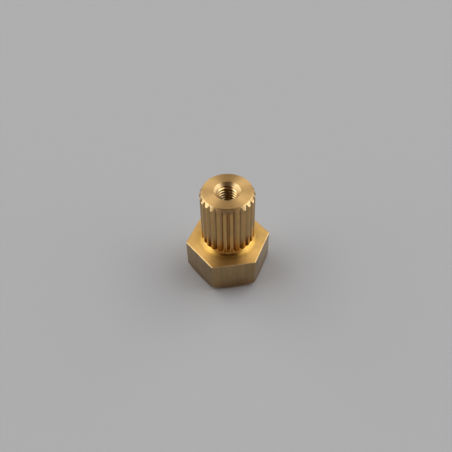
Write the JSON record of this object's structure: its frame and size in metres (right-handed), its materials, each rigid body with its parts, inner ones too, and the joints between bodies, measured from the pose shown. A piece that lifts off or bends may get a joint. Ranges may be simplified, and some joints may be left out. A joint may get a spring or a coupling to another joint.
{
  "type": "tapped insert",
  "caption": "Brass insert turned from hexagon bar: a hexagon head, a filleted neck, a round shank with a straight knurl, and a tapped hole right through.",
  "frame": {"origin": "centre of the head's underside, on the axis of the tapped hole", "axes": "+Z along the tapped hole, from the head's underside towards the knurled end; a flat of the hexagon and one ridge of the knurl face -Y"},
  "size_m": [0.0128, 0.011, 0.015],
  "materials": {
    "brass": "bright turned brass, drawn hexagon flats, rolled knurl"
  },
  "bodies": {
    "root": {"tapped_insert": "brass"}
  },
  "joints": []
}
